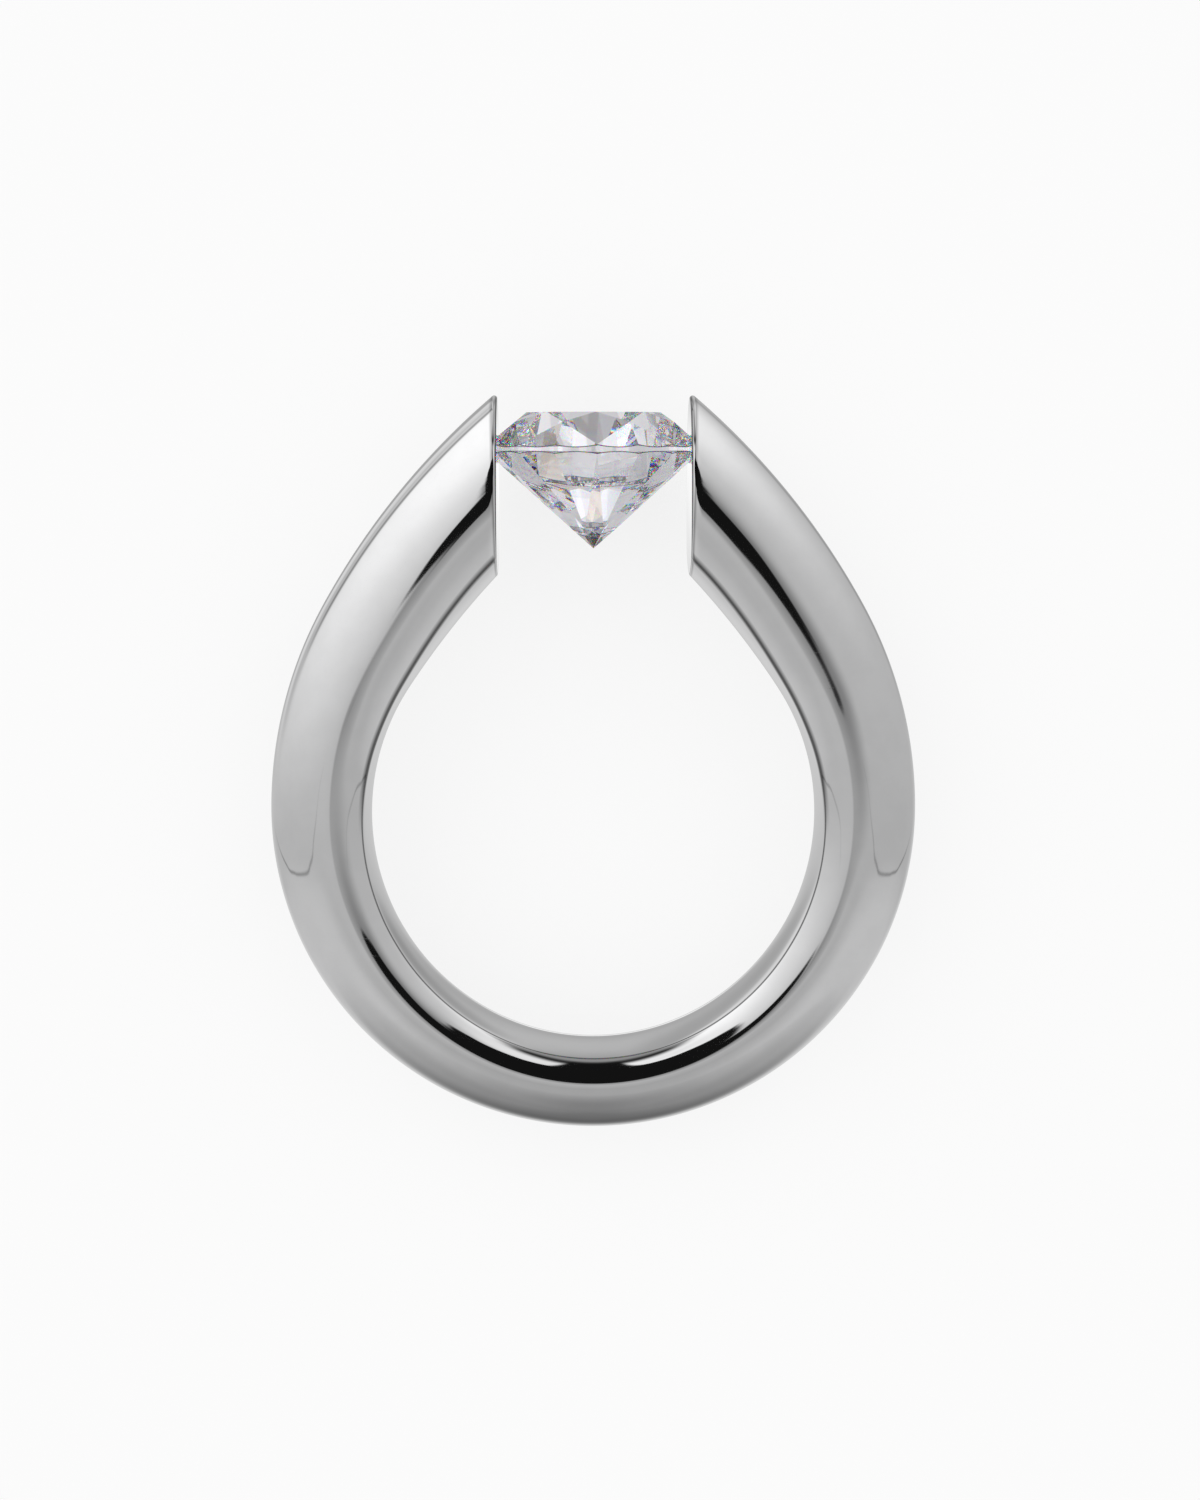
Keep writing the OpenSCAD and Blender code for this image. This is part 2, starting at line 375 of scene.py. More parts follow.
def section(band, thick, way):
    """Corners of one section as (distance from the finger hole, height along Z)."""
    table = [
        (0.0, band.back_depth / 2, band.back_dome, band.back_crest),
        (1.0, band.back_depth / 2, band.dome, band.back_crest),
        (1.5, (band.back_depth + band.end_depth) / 4, band.dome, (band.back_crest + band.arm_crest) / 2),
        (2.0, band.end_depth / 2, band.end_dome, band.arm_crest),
    ]
    half = section_size(table, 1, way)
    rise = section_size(table, 2, way)
    crest = rise + section_size(table, 3, way) * (thick - rise)
    under = (crest - rise) / math.sin(band.roll)
    crease = half * math.cos(band.roll)
    dome_r = (crease ** 2 + rise ** 2) / (2 * rise)

    # The upper crease is rounded between the side that rolls under and the dome.
    to_side = np.array((under * math.cos(band.roll), half * math.sin(band.roll)))
    to_side /= np.linalg.norm(to_side)
    to_dome = np.array((-crease / dome_r, -math.sqrt(dome_r ** 2 - crease ** 2) / dome_r))
    rounding, reach = rounded_corner(np.array((rise, crease)), to_side, to_dome, band.crease_r)
    rolled = reach / math.hypot(under * math.cos(band.roll), half * math.sin(band.roll))

    roll = [band.roll - rolled - (band.roll - rolled) * i / ROLL_STEPS for i in range(1, ROLL_STEPS)]
    upper_roll = [(crest - under * math.sin(a), half * math.cos(a)) for a in roll]
    outer = [(crest + (thick - crest) * math.sin(a), half * math.cos(a))
             for a in (math.pi * i / OUTER_STEPS for i in range(OUTER_STEPS + 1))]
    lower_roll = [(t, -z) for t, z in reversed(upper_roll)]
    lower_rounding = [(t, -z) for t, z in reversed(rounding)]
    dome_to = crease - reach * abs(to_dome[1])
    dome = [(dome_r - math.sqrt(dome_r ** 2 - z ** 2), z)
            for z in (dome_to * (2 * i / DOME_STEPS - 1) for i in range(1, DOME_STEPS))]
    return rounding + upper_roll + outer + lower_roll + lower_rounding + dome


def eased_rows(rows, edge_rows, reach=5, passes=4):
    """Rows whose bends change gradually, where the arcs of the outline only meet without a corner."""
    body = rows[edge_rows:len(rows) - edge_rows]
    weights = np.exp(-0.5 * (np.arange(-3 * reach, 3 * reach + 1) / reach) ** 2)
    weights /= weights.sum()

    def smooth(values):
        n = 3 * reach
        before = 2 * values[:1] - values[n:0:-1]
        after = 2 * values[-1:] - values[-2:-n - 2:-1]
        padded = np.concatenate((before, values, after))
        return sum(w * padded[i:i + len(values)] for i, w in enumerate(weights))

    eased = smooth(body)
    for _ in range(passes):
        eased = eased + smooth(body - eased)
    result = rows.copy()
    result[edge_rows:len(rows) - edge_rows] = eased
    return result


def band_rows(band):
    """The corners of every station, from the left end face round the bottom to the right one."""
    half = []
    for inner, outer, way in stations(band):
        across = outer - inner
        thick = float(np.linalg.norm(across))
        away = across / thick
        half.append([(inner[0] + away[0] * t, inner[1] + away[1] * t, z)
                     for t, z in section(band, thick, way)])
    half = np.array(half)
    left = half[:0:-1] * (-1, 1, 1)
    rows = eased_rows(np.concatenate((left, half)), EDGE_STEPS)
    run = np.clip(1 - (abs(rows[..., 0]) - band.gap / 2) / band.soft_run, 0, 1) * (rows[..., 1] > 0)
    rows[..., 2] *= 1 - band.soft_drop / (band.end_depth / 2) * (1 - np.sqrt(1 - run ** 2))
    return rows


def skin(name, rows, place):
    """A closed mesh over rows of corners, with a flat cap on each end."""
    count, last = len(rows[0]), len(rows) - 1
    points = [place @ Vector(p) for row in rows for p in row]
    faces = [(i * count + j, i * count + (j + 1) % count,
              (i + 1) * count + (j + 1) % count, (i + 1) * count + j)
             for i in range(last) for j in range(count)]
    faces.append(tuple(range(count - 1, -1, -1)))
    faces.append(tuple(range(last * count, (last + 1) * count)))
    mesh = bpy.data.meshes.new(name)
    mesh.from_pydata(points, [], faces)
    mesh.update()
    return mesh


def shown(name, mesh):
    """An object of the scene that shows the mesh."""
    piece = bpy.data.objects.new(name, mesh)
    bpy.context.scene.collection.objects.link(piece)
    return piece


def apply_modifiers(piece):
    """Makes the piece's evaluated mesh its plain one, with no modifier left on it."""
    graph = bpy.context.evaluated_depsgraph_get()
    mesh = bpy.data.meshes.new_from_object(piece.evaluated_get(graph))
    piece.modifiers.clear()
    piece.data = mesh


# How far the grooves' cutter stands out of the end faces, the bend over which an edge of the band stays
# sharp, and how near a vertex is to the corner that it came from.
CUTTER_OUT = 0.4 * MM
SHARP_OVER = math.radians(28)
SAME_SPOT = 0.001 * MM


def groove_rows(band, stone):
    """The stone's own round form with the clearance added, as rows of a lathe in the stone's frame."""
    inset = band.gap / 2 - CUTTER_OUT
    deep = stone.diameter / 2 + stone.seat_gap
    high = stone.girdle / 2 + stone.seat_gap
    profile = [
        (inset, -high - (deep - inset) * math.tan(stone.pavilion_angle)),
        (deep, -high),
        (deep, high),
        (inset, high + (deep - inset) * math.tan(stone.crown_angle)),
    ]
    turns = [2 * math.pi * i / GROOVE_STEPS for i in range(GROOVE_STEPS)]
    return [[(r * math.cos(a), r * math.sin(a), z) for a in turns] for r, z in profile]


def at_stone(stone):
    """The matrix that turns a stone drawn along Z to its place between the arms, table towards +Y."""
    return (Matrix.Translation((0, stone.up, 0)) @ Matrix.Rotation(-math.pi / 2, 4, "X")
            @ Matrix.Rotation(stone.turn, 4, "Z"))


class RING_OT_band(bpy.types.Operator):
    """Makes the open band with its comfort dome, rounded edges and the two grooves that grip the stone"""
    bl_idname = "ring.band"
    bl_label = "Band"

    def execute(self, context):
        band, stone, finish = context.scene.ring_band, context.scene.ring_stone, context.scene.ring_finish
        place, _ = laid(band, stone)
        rows = band_rows(band)
        piece = shown("open_band", skin("open_band", rows, place))
        cutter = shown("groove_cutter", skin("groove", groove_rows(band, stone), place @ at_stone(stone)))
        cut = piece.modifiers.new("grooves", "BOOLEAN")
        cut.operation, cut.solver, cut.object = "DIFFERENCE", "EXACT", cutter
        apply_modifiers(piece)
        bpy.data.objects.remove(cutter)
        # Painted shade: dark lines along the creases and round the end faces go into an attribute.
        paint_crease_shade(piece.data, rows, place)
        piece.data.shade_smooth()
        piece.data.set_sharp_from_angle(angle=SHARP_OVER)
        weigh = piece.modifiers.new("flat_ends", "WEIGHTED_NORMAL")
        weigh.keep_sharp = True
        apply_modifiers(piece)
        piece.data.materials.clear()
        piece.data.materials.append(polished_metal(finish))
        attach(piece, "root")
        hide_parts("band")
        return {"FINISHED"}


def paint_crease_shade(mesh, rows, place):
    """Painted shade: an attribute for fine dark lines along both creases and round the end faces' rounded
    edges.
    """
    lower = CREASE_STEPS + 2 * ROLL_STEPS + OUTER_STEPS
    creases = [(start + j, j in (0, CREASE_STEPS)) for start in (0, lower) for j in range(CREASE_STEPS + 1)]
    painted_shade = []
    for i, row in enumerate(rows):
        from_end = min(i, len(rows) - 1 - i)
        up_arm = (abs(i - len(rows) // 2) - BACK_STEPS) / ARM_STEPS
        if from_end in EDGE_SHADE_LINES:
            painted_shade += [(row[j], EDGE_SHADE_LINES[from_end]) for j in range(len(row))]
        elif from_end > EDGE_STEPS:
            up = min(max((up_arm - SHADE_LINE_GROWS_FROM) / SHADE_LINE_GROWS_OVER, 0), 1)
            painted_shade += [(row[j], up if outer else LOW_SHADE_LINE + (1 - LOW_SHADE_LINE) * up) for j, outer in creases]
    tree = KDTree(len(painted_shade))
    for k, (corner, _) in enumerate(painted_shade):
        tree.insert(place @ Vector(corner), k)
    tree.balance()
    values = []
    for vertex in mesh.vertices:
        _, k, away = tree.find(vertex.co)
        values.append(painted_shade[k][1] if away < SAME_SPOT else 0)
    mesh.attributes.new("crease", "FLOAT", "POINT").data.foreach_set("value", values)


# Sizes of the noise that varies the metal, in spots to a metre: a soft haze, and fine grain.
HAZE = 900
GRAIN = 14000
# Colour of the painted shade lines along the creases and the end faces' edges.
PAINTED_SHADE_COLOUR = (0.03, 0.03, 0.03, 1)


def polished_metal(finish):
    """Rhodium-bright white gold: mirror polish with the faint haze and hairlines of a worn-in buff, and
    painted shade lines.
    """
    material = bpy.data.materials.new("polished_white_gold")
    material.use_nodes = True
    n = Nodes(material.node_tree)
    where = n.add("ShaderNodeTexCoord", out="Object")
    haze = n.add("ShaderNodeTexNoise", {}, {"Vector": where, "Scale": HAZE, "Detail": 3, "Roughness": 0.6})
    grain = n.add("ShaderNodeTexNoise", {}, {"Vector": where, "Scale": GRAIN, "Detail": 2})
    stretched = n.add("ShaderNodeMapping", {}, {"Vector": where, "Rotation": (0.3, 0.2, 0.7),
                                                "Scale": (HAZE, GRAIN, 3000)})
    lines = n.add("ShaderNodeTexNoise", {}, {"Vector": stretched, "Scale": 1, "Detail": 2})
    hairline = lines.rises(0.68, 0.74)
    dark = tuple(c * 0.975 for c in finish.metal)
    colour = n.add("ShaderNodeMix", {"data_type": "RGBA"},
                   {"Factor": haze.rises(0.35, 0.65), 6: (*finish.metal, 1), 7: (*dark, 1)}, out=2)
    # Painted shade: the crease attribute darkens the metal along the creases and round the end faces.
    crease = n.add("ShaderNodeAttribute", {"attribute_name": "crease"}, out="Fac")
    colour = n.add("ShaderNodeMix", {"data_type": "RGBA"},
                   {"Factor": crease * 0.85, 6: colour, 7: PAINTED_SHADE_COLOUR}, out=2)
    rough = finish.polish * (0.8 + 0.5 * haze + 0.35 * grain) + 0.03 * hairline
    bump = n.add("ShaderNodeBump", {}, {"Strength": 0.05, "Distance": 0.000002,
                                        "Height": grain * 0.4 + haze * 0.6 - 0.3 * hairline}, out="Normal")
    shader = n.add("ShaderNodeBsdfPrincipled", {}, {"Metallic": 1, "Base Color": colour,
                                                    "Roughness": rough, "Normal": bump})
    n.add("ShaderNodeOutputMaterial", {}, {"Surface": shader})
    return material


# The stone: one eighth of the brilliant cut, which Geometry Nodes set eight times round its axis.
MAINS = 8
GIRDLE_STEPS = 12
JOIN_DISTANCE = 1e-6


def brilliant_wedge(stone):
    """Corners, facets, girdle and bruted lines of the cut, from one main facet's middle to the next."""
    radius, half = stone.diameter / 2, math.pi / MAINS

    def crown(r):
        return stone.girdle / 2 + (radius - r) * math.tan(stone.crown_angle)

    def pavilion(r):
        return -stone.girdle / 2 - (radius - r) * math.tan(stone.pavilion_angle)

    def spot(r, turn, up):
        return np.array((r * math.cos(turn), r * math.sin(turn), up))

    table_r = stone.table_share * radius
    star_r = table_r * math.cos(half) + stone.star_reach * (radius - table_r * math.cos(half))
    lower_r = (1 - stone.lower_reach) * radius
    star = spot(star_r, half, crown(star_r * math.cos(half)))
    low = spot(lower_r, half, pavilion(lower_r * math.cos(half)))

    def edge_height(inner, level, turn):
        """Height at which a flat girdle facet meets the round girdle."""
        p, q, s = inner, spot(radius, 0, level), spot(radius, half, level)
        normal = np.cross(q - p, s - p)
        at = spot(radius, turn, 0)
        return p[2] - (normal[0] * (at[0] - p[0]) + normal[1] * (at[1] - p[1])) / normal[2]

    turns = [2 * half * i / (2 * GIRDLE_STEPS) for i in range(2 * GIRDLE_STEPS + 1)]
    mirrored = [min(a, 2 * half - a) for a in turns]
    top = [spot(radius, a, edge_height(star, stone.girdle / 2, m)) for a, m in zip(turns, mirrored)]
    bottom = [spot(radius, a, edge_height(low, -stone.girdle / 2, m)) for a, m in zip(turns, mirrored)]
    points = [spot(0, 0, crown(table_r)), spot(table_r, 0, crown(table_r)),
              spot(table_r, 2 * half, crown(table_r)), star, low, spot(0, 0, pavilion(0))] + top + bottom
    middle, first, second, star, low, culet = range(6)
    ups = list(range(6, 6 + len(top)))
    downs = list(range(6 + len(top), 6 + 2 * len(top)))
    m = GIRDLE_STEPS
    facets = [
        (middle, first, second),
        (first, star, second),
        (first, ups[0], star),
        (second, star, ups[-1]),
        (star, *ups[:m + 1]),
        (star, *ups[m:]),
        (low, *downs[m::-1]),
        (low, *downs[:m - 1:-1]),
        (culet, low, downs[0]),
        (culet, downs[-1], low),
    ]
    # The girdle's polished band lies between two thin bruted lines.
    fine = stone.bruted
    points += [p - (0, 0, fine) for p in top] + [p + (0, 0, fine) for p in bottom]
    n = len(top)
    rings = [ups, list(range(6 + 2 * n, 6 + 3 * n)), list(range(6 + 3 * n, 6 + 4 * n)), downs]
    girdle = [[(below[i], below[i + 1], above[i + 1], above[i]) for i in range(2 * m)]
              for above, below in zip(rings, rings[1:])]
    return points, facets, girdle[1], girdle[0] + girdle[2]


def stone_tree(clear, frosted):
    """Geometry Nodes that set the wedge round the stone's axis and give facets and lines their finish."""
    tree = bpy.data.node_groups.new("brilliant_cut", "GeometryNodeTree")
    interface = tree.interface
    interface.new_socket("Geometry", in_out="INPUT", socket_type="NodeSocketGeometry")
    sockets = {}
    for name, kind in (("Mains", "NodeSocketInt"), ("Join Distance", "NodeSocketFloat")):
        sockets[name] = interface.new_socket(name, in_out="INPUT", socket_type=kind).identifier
    interface.new_socket("Geometry", in_out="OUTPUT", socket_type="NodeSocketGeometry")
    n = Nodes(tree)
    shape, mains, join = n.outputs("NodeGroupInput", {}, ("Geometry", "Mains", "Join Distance"))
    middle = n.add("GeometryNodeMeshLine", {"mode": "OFFSET"}, {"Count": mains, "Offset": (0, 0, 0)})
    index = n.add("GeometryNodeInputIndex")
    turn = index * (2 * math.pi) / mains
    spin = n.add("ShaderNodeCombineXYZ", {}, {"Z": turn})
    round_axis = n.add("GeometryNodeInstanceOnPoints", {},
                       {"Points": middle, "Instance": shape, "Rotation": spin})
    real = n.add("GeometryNodeRealizeInstances", {}, {0: round_axis})
    merged = n.add("GeometryNodeMergeByDistance", {}, {"Geometry": real, "Distance": join})
    is_bruted = n.add("GeometryNodeInputNamedAttribute", {"data_type": "BOOLEAN"}, {"Name": "bruted"})
    faceted = n.add("GeometryNodeSetMaterial", {}, {"Geometry": merged, "Material": clear})
    finished = n.add("GeometryNodeSetMaterial", {},
                     {"Geometry": faceted, "Selection": is_bruted, "Material": frosted})
    n.add("NodeGroupOutput", {}, {0: finished})
    return tree, sockets


INSIDE_POLISH = 0.012


def brilliant_glass(name, clear, finish, rough):
    """A clear stone that bends red, green and blue a little apart where light enters it."""
    material = bpy.data.materials.new(name)
    material.use_nodes = True
    n = Nodes(material.node_tree)
    where = n.add("ShaderNodeTexCoord", out="Object")
    polish = n.add("ShaderNodeTexNoise", {}, {"Vector": where, "Scale": 2500, "Detail": 2})
    roughness = rough and rough * (0.7 + 0.6 * polish)
    glasses = []
    for channel, step in enumerate((-1, -0.1, 1)):
        colour = [0, 0, 0, 1]
        colour[channel] = clear[channel]
        glasses.append(n.add("ShaderNodeBsdfGlass", {}, {
            "Color": colour, "IOR": finish.bend + step * finish.fire / 2, "Roughness": roughness}))
    red_green = n.add("ShaderNodeAddShader", {}, {0: glasses[0], 1: glasses[1]})
    entering = n.add("ShaderNodeAddShader", {}, {0: red_green, 1: glasses[2]})
    inside = n.add("ShaderNodeBsdfGlass", {}, {
        "Color": (*clear, 1), "IOR": finish.bend, "Roughness": INSIDE_POLISH * polish + roughness})
    backs = n.add("ShaderNodeNewGeometry", out="Backfacing")
    shader = n.add("ShaderNodeMixShader", {}, {0: backs, 1: entering, 2: inside})
    n.add("ShaderNodeOutputMaterial", {}, {"Surface": shader})
    return material


class RING_OT_stone(bpy.types.Operator):
    """Cuts the round brilliant and sets it in the grooves of the two arms"""
    bl_idname = "ring.stone"
    bl_label = "Stone"

    def execute(self, context):
        band, stone, finish = context.scene.ring_band, context.scene.ring_stone, context.scene.ring_finish
        points, facets, girdle, bruted = brilliant_wedge(stone)
        mesh = bpy.data.meshes.new("brilliant_stone")
        mesh.from_pydata([Vector(p) for p in points], [], facets + girdle + bruted)
        marks = mesh.attributes.new("bruted", "BOOLEAN", "FACE")
        marks.data.foreach_set("value", [False] * (len(facets) + len(girdle)) + [True] * len(bruted))
        piece = shown("brilliant_stone", mesh)
        clear = brilliant_glass("cut_stone", finish.stone, finish, rough=0)
        frosted = brilliant_glass("bruted_edge", finish.bruted, finish, rough=0.2)
        cut = piece.modifiers.new("brilliant_cut", "NODES")
        cut.node_group, inputs = stone_tree(clear, frosted)
        cut[inputs["Mains"]], cut[inputs["Join Distance"]] = MAINS, JOIN_DISTANCE
        apply_modifiers(piece)
        place, _ = laid(band, stone)
        piece.data.transform(place @ at_stone(stone))
        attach(piece, "root")
        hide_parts("stone")
        return {"FINISHED"}


# The studio: what the polished metal mirrors, by direction in the ring's own frame. Greys are of 255, as
# they show in the metal.
# Rows are [height in degrees, grey to the left, grey to the right].
PANELS = [
    (-90, 118, 118),
    (-80, 129, 129),
    (-68, 141, 141),
    (-56, 158, 158),
    (-44, 176, 176),
    (-36, 187, 187),
    (-28, 188, 187),
    (-20, 184, 181),
    (-14, 177, 171),
    (-8, 181, 171),
    (-2, 190, 174),
    (4, 199, 175),
    (10, 208, 177),
    (16, 215, 179),
    (22, 224, 185),
    (28, 234, 193),
    (34, 243, 205),
    (40, 248, 218),
    (46, 252, 230),
    (54, 252, 236),
    (64, 225, 215),
    (76, 175, 175),
    (90, 150, 150),
]
# Rows are [height in degrees, grey] behind the ring, where the inside of the band looks.
BEHIND = [
    (-90, 116),
    (-68, 104),
    (-56, 96),
    (-48, 112),
    (-40, 150),
    (-30, 190),
    (-20, 200),
    (-10, 192),
    (-2, 178),
    (6, 162),
    (16, 170),
    (30, 178),
    (46, 162),
    (60, 150),
    (90, 150),
]
# Rows are [degrees to the left, grey] of the left panel's fold.
FOLD = [
    (112, 204),
    (124, 184),
    (131, 170),
    (138, 178),
    (144, 204),
    (151, 210),
    (156, 168),
    (161, 158),
    (168, 164),
    (180, 176),
]
# Rows are [height in degrees, degrees to its left edge, degrees to its right edge] of the dark gap that the
# camera looks through.
LENS_GAP = [
    (-8, 0, 0),
    (-7, 0, 0.5),
    (-6, 0.5, 2.5),
    (-5, 2, 6.4),
    (-4, 5, 9),
    (-3, 7, 11),
    (-1, 9, 13.5),
    (1, 9.6, 15.5),
    (4, 8.2, 15.7),
    (7, 10.2, 12.6),
    (10, 12.8, 14.6),
    (13, 15.6, 16.4),
    (16, 17.8, 19.2),
    (19, 20, 21),
    (22, 20.4, 21.3),
    (25, 19.4, 19.8),
    (28, 18, 17.6),
    (31, 12.5, 12.6),
    (34, 9, 9.8),
    (40, 8.4, 9.8),
    (52, 9, 10),
]
# Rows are [degrees aside from the lens, height in degrees, strength] of the thin seam where the side panels
# meet the table.
SEAM = [
    (20, -5, 0),
    (24, -6, 0.1),
    (30, -9.2, 0.2),
    (38, -12, 0.3),
    (44, -14.4, 0.4),
    (51, -16, 0.45),
    (60, -17.9, 0.5),
    (72, -18.8, 0.5),
    (84, -19, 0.5),
    (95, -18.5, 0.5),
    (104, -17.8, 0.5),
    (112, -16.2, 0.5),
    (122, -14, 0.4),
    (132, -11.5, 0.2),
    (150, -7, 0),
]
# Rows are [height in degrees, strength] of the shade that falls on the right panel beside the lens.
LENS_SHADE = [
    (-13, 0),
    (-8, 0.35),
    (-2, 0.6),
    (4, 0.8),
    (10, 0.6),
    (16, 0.35),
    (24, 0.12),
    (32, 0),
]
# What the stone looks at, round a plain grey: rows are [degrees to the right, height in degrees, reach in
# degrees, strength] of the soft lights and dark cards, as light added or taken away.
STONE_BASE = 0.64
STONE_TINT = (1, 0.99, 1.03)
STONE_LOOKS = [
    (-137, 36, 18, 0.16),
    (-130, -33, 18, 0.33),
    (-110, 0, 18, 0.34),
    (-104, 75, 18, -0.33),
    (-81, 23, 18, 0.29),
    (-35, 10, 18, -0.16),
    (-13, 0, 18, -0.38),
    (-12, -29, 18, 0.34),
    (-1, 44, 18, -0.40),
    (28, 56, 18, -0.24),
    (30, 18, 18, -0.38),
    (42, 1, 18, 0.58),
    (52, 24, 18, 0.35),
    (109, -14, 18, 0.22),
    (121, 53, 18, -0.28),
    (177, -24, 18, 0.58),
    (-173, 61, 10, -0.62),
    (-150, -8, 10, -0.09),
    (-146, 58, 10, 0.44),
    (-98, 50, 10, 0.22),
    (-67, 30, 10, -0.34),
    (-50, 33, 10, 0.51),
    (-22, -67, 10, -0.64),
    (-7, -28, 10, -0.41),
    (10, -4, 10, -0.25),
    (21, 34, 10, 0.28),
    (105, 15, 10, 0.44),
    (107, 27, 10, -0.30),
    (131, 3, 10, 0.25),
    (147, 0, 10, 0.19),
    (155, -10, 10, -0.31),
    (167, 23, 10, 0.53),
    (173, 76, 10, 0.69),
    (-179, 12, 6, 0.19),
    (-177, -7, 6, -0.30),
    (-174, -2, 6, 0.34),
    (-172, -5, 6, -0.20),
    (-166, 15, 6, 0.43),
    (-163, -12, 6, 0.56),
    (-162, 1, 6, 0.24),
    (-148, 27, 6, 1.05),
    (-65, -10, 6, 0.71),
    (-44, -15, 6, 0.68),
    (-35, -45, 6, 0.56),
    (-24, -52, 6, -0.19),
    (-24, -77, 6, 0.20),
    (20, -17, 6, 0.69),
    (139, -1, 6, 0.20),
    (154, 4, 6, -0.35),
    (154, 61, 6, -0.33),
    (156, 1, 6, 0.38),
    (161, 2, 6, 0.12),
    (171, -7, 6, -0.30),
    (171, -11, 6, 0.51),
    (174, -3, 6, 0.22),
    (176, -12, 6, 0.25),
]
METAL_REFLECTS = 0.85
DEGREES = 180 / math.pi


def glow(grey):
    """The light that shows in the metal as that grey of 255."""
    c = grey / 255
    linear = c / 12.92 if c <= 0.04045 else ((c + 0.055) / 1.055) ** 2.4
    return linear / METAL_REFLECTS


# In the next three functions a pair of numbers is in degrees: where a tone begins and where it is full, or
# its middle and how far it reaches.

def side_panels(height, turn, to_right):
    """The soft panels on both sides, with the seam where they meet the table."""
    aside = abs(turn)
    panels = [(row[0], glow(row[1]), glow(row[2])) for row in PANELS]
    light = height.curve(panels, 1).turned(height.curve(panels, 2), to_right)
    # Straight below the lens the panels are a little dimmer.
    light = light * (1 - 0.29 * aside.near(0, 44) * height.falls(-24, -12) * height.rises(-90, -56))
    seam = (height + aside.curve([(row[0], -row[1]) for row in SEAM])).near(0, 0.6)
    return light * (1 - seam * aside.curve(SEAM, 2) * aside.rises(20, 22) * aside.falls(140, 150))


def behind_ring(light, height, turn):
    """What the inside of the band, its lowest rim and the end faces look at."""
    aside = abs(turn)
    behind = height.curve([(row[0], glow(row[1])) for row in BEHIND])
    level = aside.rises(138, 164) * height.rises(-40, -28)
    light = light.turned(behind, level + aside.rises(90, 178) * height.falls(-40, -28))
    # The left panel folds back into the dark, and the right one ends in a shaded edge.
    fold = (turn + 6 * height.rises(4, 40)).falls(-140, -112) * aside.falls(166, 176)
    folded = (-turn).curve([(row[0], glow(row[1])) for row in FOLD])
    light = light.turned(folded, fold * height.rises(-4, 8))
    light = light * (1 - 0.62 * turn.near(-128, 7) * height.rises(8, 20))
    light = light * (1 - 0.26 * turn.near(156, 8) * height.rises(-2, 6) * height.falls(26, 40))
    # The end faces look at a bright patch straight behind.
    return light.turned(glow(240), aside.rises(175, 177.4) * height.near(-1, 4.5))


def round_lens(light, height, turn):
    """What is near the lens: the panels' edges, the ceiling and the dark gap round the camera."""
    aside = abs(turn)
    # The bright edges of the panels either side of the lens, and the shaded one low on the right.
    light = light.turned(glow(227), aside.near(20, 19) * height.near(36, 13))
    shade = height.curve(LENS_SHADE) * height.rises(-13, -11) * height.falls(28, 32)
    light = light * (1 - shade * turn.rises(-6, -2) * turn.falls(7, 36))
    # The grey ceiling over the lens, with a dark beam across its front.
    light = light.turned(glow(138), aside.falls(40, 56) * height.rises(44, 52))
    light = light.turned(glow(40), aside.falls(26, 40) * height.near(50, 10))
    left, right = height.curve(LENS_GAP, 1), height.curve(LENS_GAP, 2)
    gap = (turn + left).rises(-1, 1) * (turn - right).falls(-1, 1)
    return light.turned(glow(18), gap * height.rises(-7.4, -6.4) * height.falls(48, 56))


def studio_light(studio, lean):
    """The world: what the metal mirrors, what the stone looks at, and a plain pale background."""
    world = bpy.data.worlds.new("studio_light")
    world.use_nodes = True
    n = Nodes(world.node_tree)
    toward = n.add("ShaderNodeTexCoord", out="Generated")
    toward = n.add("ShaderNodeVectorRotate", {"rotation_type": "X_AXIS"}, {"Vector": toward, "Angle": -lean})
    x, y, z = n.outputs("ShaderNodeSeparateXYZ", {0: toward}, (0, 1, 2))
    height = y.math("ARCSINE") * DEGREES
    turn = x.math("ARCTAN2", z) * DEGREES
    light = side_panels(height, turn, x.rises(-0.3, 0.3))
    light = behind_ring(light, height, turn)
    light = round_lens(light, height, turn)
    sight, through = n.outputs("ShaderNodeLightPath", {}, ("Is Camera Ray", "Is Transmission Ray"))
    colour = n.add("ShaderNodeMix", {"data_type": "RGBA", "clamp_factor": True}, {
        "Factor": through, 6: light.turned(studio.background, sight), 7: stone_looks(n, toward)}, out=2)
    glowing = n.add("ShaderNodeBackground", {}, {"Color": colour, "Strength": 1})
    n.add("ShaderNodeOutputWorld", {}, {"Surface": glowing})
    return world


def stone_looks(n, toward):
    """The soft lights and dark cards round the ring that the stone looks at, by direction."""
    seen = STONE_BASE
    for aside, height, reach, strength in STONE_LOOKS:
        a, h = math.radians(aside), math.radians(height)
        middle = (math.cos(h) * math.sin(a), math.sin(h), math.cos(h) * math.cos(a))
        near = n.add("ShaderNodeVectorMath", {"operation": "DOT_PRODUCT"},
                     {0: toward, 1: middle}, out="Value")
        near = near.rises(math.cos(math.radians(reach)), math.cos(math.radians(reach / 2)))
        seen = near * strength + seen
    return n.add("ShaderNodeVectorMath", {"operation": "SCALE"},
                 {0: STONE_TINT, "Scale": seen.math("MAXIMUM", 0)})


def floor_material(studio):
    """The pale floor, which gives off most of its light itself so that shadows stay soft."""
    material = bpy.data.materials.new("pale_floor")
    material.use_nodes = True
    n = Nodes(material.node_tree)
    shader = n.add("ShaderNodeBsdfPrincipled", {}, {
        "Base Color": (*studio.floor, 1), "Roughness": 0.9, "Specular IOR Level": 0,
        "Emission Color": (1, 1, 1, 1), "Emission Strength": studio.floor_glow})
    n.add("ShaderNodeOutputMaterial", {}, {"Surface": shader})
    return material


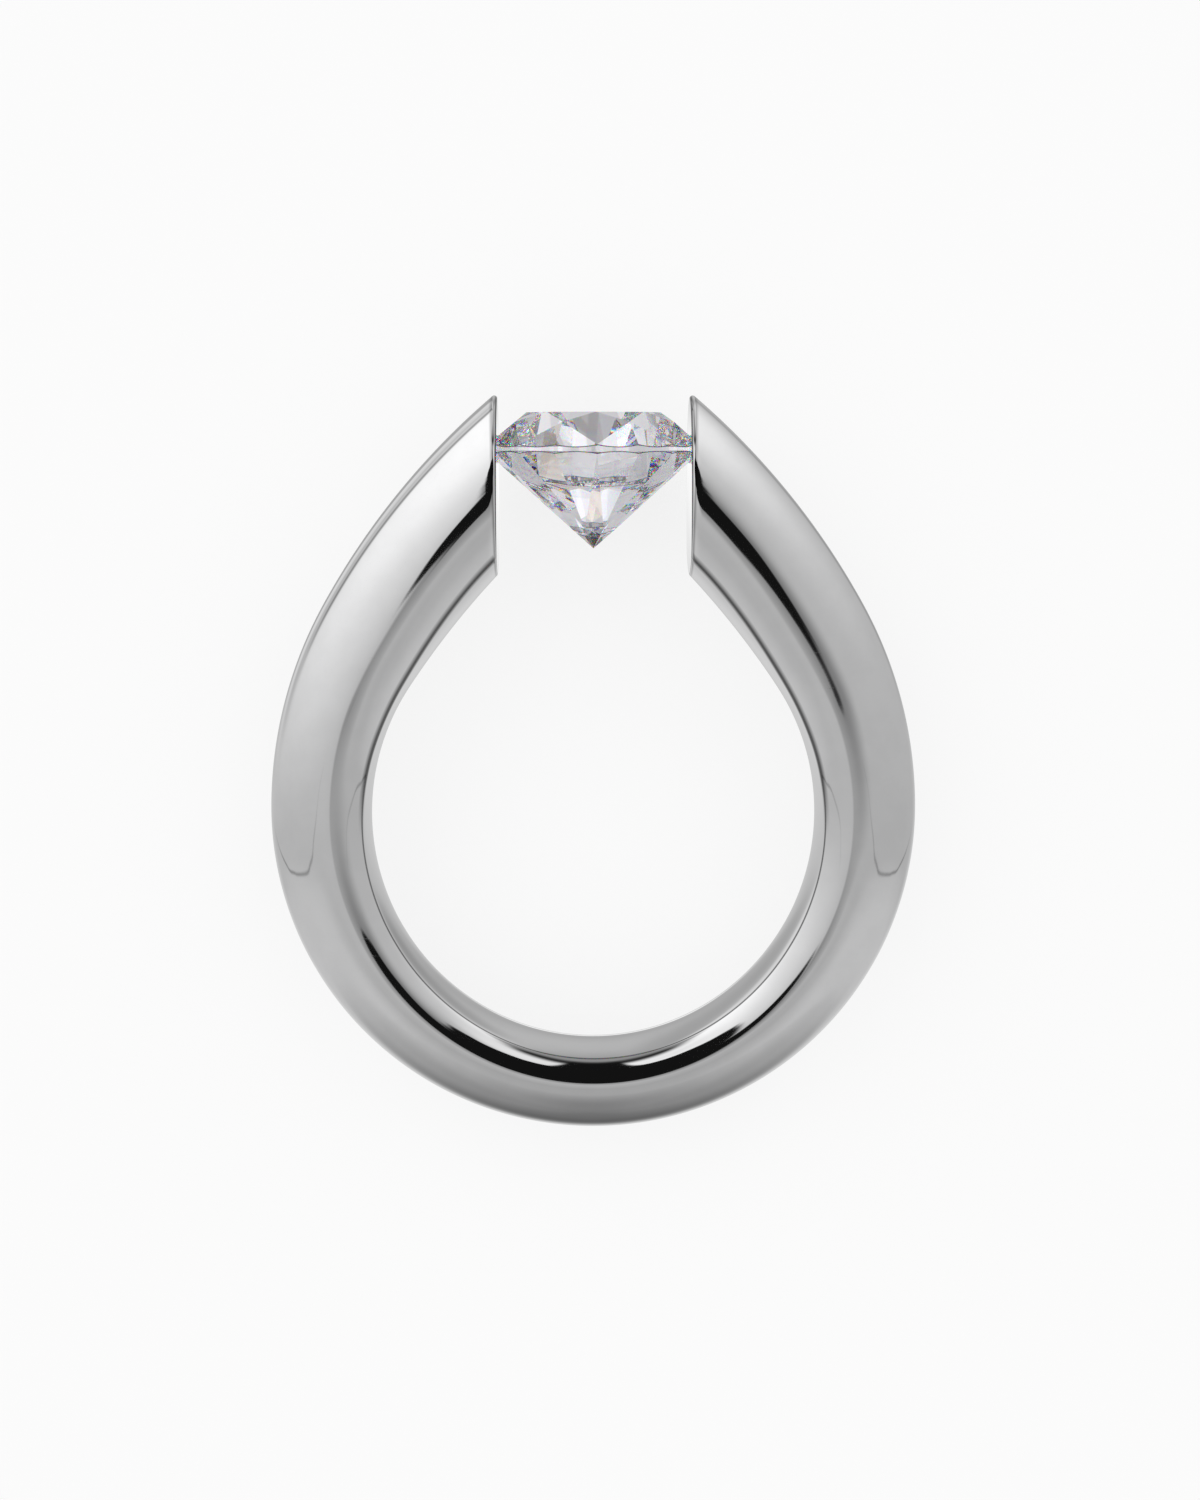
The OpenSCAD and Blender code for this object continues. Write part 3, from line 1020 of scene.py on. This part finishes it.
# Camera in the ring's own frame, in metres: where it stands and what it aims at.
LENS_AT = (-0.00096, 0.0147, 0.114)
AIM_AT = (0.00025, 0.00277, 0)
SENSOR = 36
FLOOR_HALF = 1.5
LAMP_SPREAD = math.radians(120)
# Light takes many turns inside the cut stone before it leaves.
MOST_BOUNCES = 40


class RING_OT_studio(bpy.types.Operator):
    """Sets the pale floor, the soft light and the camera"""
    bl_idname = "ring.studio"
    bl_label = "Studio"

    def execute(self, context):
        scene, studio = context.scene, context.scene.ring_studio
        place, lean = laid(scene.ring_band, scene.ring_stone)
        mesh = bpy.data.meshes.new("floor")
        corners = [(x * FLOOR_HALF, y * FLOOR_HALF, 0) for x, y in ((-1, -1), (1, -1), (1, 1), (-1, 1))]
        mesh.from_pydata(corners, [], [(0, 1, 2, 3)])
        mesh.materials.append(floor_material(studio))
        floor = shown("floor", mesh)
        floor.visible_glossy = floor.visible_transmission = False

        sun = bpy.data.lights.new("overhead", "SUN")
        sun.angle = LAMP_SPREAD
        sun.energy = 1.0
        lamp = bpy.data.objects.new("overhead", sun)
        lamp.visible_glossy = lamp.visible_transmission = False
        scene.collection.objects.link(lamp)

        scene.world = studio_light(studio, lean)

        at, aim = place @ Vector(LENS_AT), place @ Vector(AIM_AT)
        back = (at - aim).normalized()
        up = place.to_3x3() @ Vector((0, 1, 0))
        right = up.cross(back).normalized()
        up = back.cross(right)
        camera = bpy.data.cameras.new("camera")
        camera.sensor_fit = "VERTICAL"
        camera.sensor_height = SENSOR
        camera.lens = SENSOR * (at - aim).length / studio.view_height
        camera.clip_start, camera.clip_end = 0.001, 10
        eye = bpy.data.objects.new("camera", camera)
        eye.matrix_world = Matrix.Translation(at) @ Matrix((right, up, back)).transposed().to_4x4()
        scene.collection.objects.link(eye)
        scene.camera = eye

        scene.view_settings.view_transform = "Standard"
        scene.cycles.use_denoising = True
        scene.cycles.max_bounces = MOST_BOUNCES
        scene.cycles.transmission_bounces = MOST_BOUNCES
        scene.cycles.glossy_bounces = MOST_BOUNCES
        return {"FINISHED"}


class RING_PT_maker(bpy.types.Panel):
    """Lists what the ring is made of"""
    bl_label = "Tension Set Ring"
    bl_space_type = "VIEW_3D"
    bl_region_type = "UI"
    bl_category = "Ring"

    def draw(self, context):
        for operator, group in (("ring.band", "ring_band"), ("ring.stone", "ring_stone"),
                                ("ring.studio", "ring_studio")):
            box = self.layout.box()
            settings = getattr(context.scene, group)
            for name in settings.__annotations__:
                box.prop(settings, name)
            box.operator(operator)
        for name in Finishes.__annotations__:
            self.layout.prop(context.scene.ring_finish, name)


GROUPS = {
    "ring_band": BandSizes,
    "ring_stone": StoneSizes,
    "ring_finish": Finishes,
    "ring_studio": StudioSizes,
}
CLASSES = (*GROUPS.values(), RING_OT_band, RING_OT_stone, RING_OT_studio, RING_PT_maker)


def register():
    for kind in CLASSES:
        bpy.utils.register_class(kind)
    for name, kind in GROUPS.items():
        setattr(bpy.types.Scene, name, bpy.props.PointerProperty(type=kind))


def unregister():
    for name in GROUPS:
        delattr(bpy.types.Scene, name)
    for kind in reversed(CLASSES):
        bpy.utils.unregister_class(kind)


def main():
    register()
    bpy.ops.ring.studio()
    bpy.ops.ring.band()
    bpy.ops.ring.stone()


if __name__ == "__main__":
    main()
